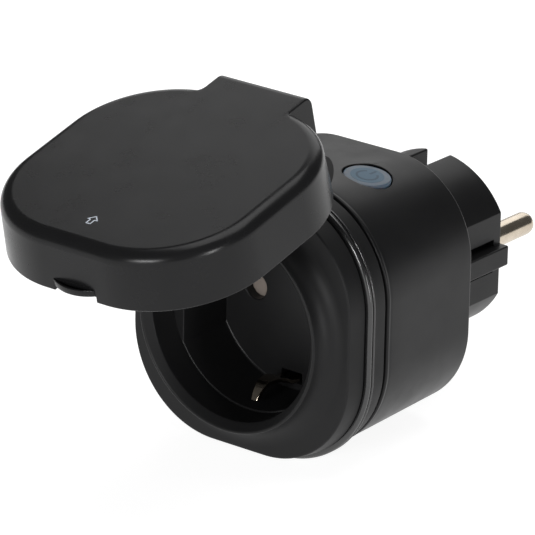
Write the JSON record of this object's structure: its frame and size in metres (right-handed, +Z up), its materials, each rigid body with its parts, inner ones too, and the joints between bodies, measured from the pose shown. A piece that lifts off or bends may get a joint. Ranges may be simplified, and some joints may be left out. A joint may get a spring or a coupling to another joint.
{
  "type": "smart plug",
  "caption": "Splash-proof switching adapter plug: round-cornered housing with a hinged lid over an earthed socket recess, an earthed two-pin plug behind and a push button on top.",
  "frame": {"origin": "centre of the plug face, midway between the two mains pins, in the plane that seats in a wall socket", "axes": "+Y along the mains pins into the wall socket, +Z up towards the push button and the hinge, +X to the right seen from the socket side"},
  "size_m": [0.0572, 0.1354, 0.0752],
  "materials": {
    "housing_black": "satin",
    "insert_black": "satin",
    "seal_rubber": "soft satin",
    "steel_plated": "bright zinc",
    "button_translucent": "satin translucent",
    "board_green": "solder mask",
    "led_lens": "clear",
    "component_blue": "moulded",
    "component_yellow": "moulded",
    "component_dark": "sleeved",
    "component_light": "ceramic",
    "block_white": "moulded",
    "contact_brass": "plain",
    "shutter_grey": "moulded",
    "contact_nickel": "nickel plated"
  },
  "bodies": {
    "root": {"front_cover": "housing_black", "socket_insert": "insert_black", "collar_gasket": "seal_rubber", "housing_seal": "seal_rubber", "rear_shell": "housing_black", "plug_base": "housing_black", "hinge_pin": "steel_plated", "button_seal": "seal_rubber", "button_board": "board_green", "tact_switch": "steel_plated", "status_led": "led_lens", "main_board": "board_green", "relay": "component_blue", "power_supply": "component_yellow", "storage_capacitor": "component_dark", "filter_capacitor": "component_yellow", "varistor": "component_blue", "wireless_module": "steel_plated", "fuse": "component_light", "contact_block": "block_white", "live_contact": "contact_brass", "neutral_contact": "contact_brass", "shutter_spring": "steel_plated", "earth_clip_upper": "contact_nickel", "earth_clip_lower": "contact_nickel", "earth_bridge": "contact_brass", "plug_earth_upper": "contact_nickel", "plug_earth_lower": "contact_nickel", "live_pin": "contact_nickel", "neutral_pin": "contact_nickel", "housing_screws": "steel_plated", "insert_screw": "steel_plated", "board_screws": "steel_plated"},
    "lid": {"lid": "housing_black", "lid_gasket": "seal_rubber"},
    "button": {"power_button": "button_translucent"},
    "shutter": {"shutter": "shutter_grey"}
  },
  "joints": [
    {"name": "lid_hinge", "type": "hinge", "parent": "root", "child": "lid", "pos_m": [0, -0.0559, 0.0307], "axis": [1, 0, 0], "range_deg": [-15, 75]},
    {"name": "button_press", "type": "slide", "parent": "root", "child": "button", "axis": [-0.1392, 0, -0.9903], "range_m": [0, 0.0005], "stiffness_N_per_m": 600, "springref_m": -0.001},
    {"name": "shutter_turn", "type": "hinge", "parent": "root", "child": "shutter", "pos_m": [0, -0.0444, 0], "axis": [0, 1, 0], "range_deg": [0, 42], "stiffness_Nm_per_rad": 0.002, "springref_deg": -22.92}
  ]
}
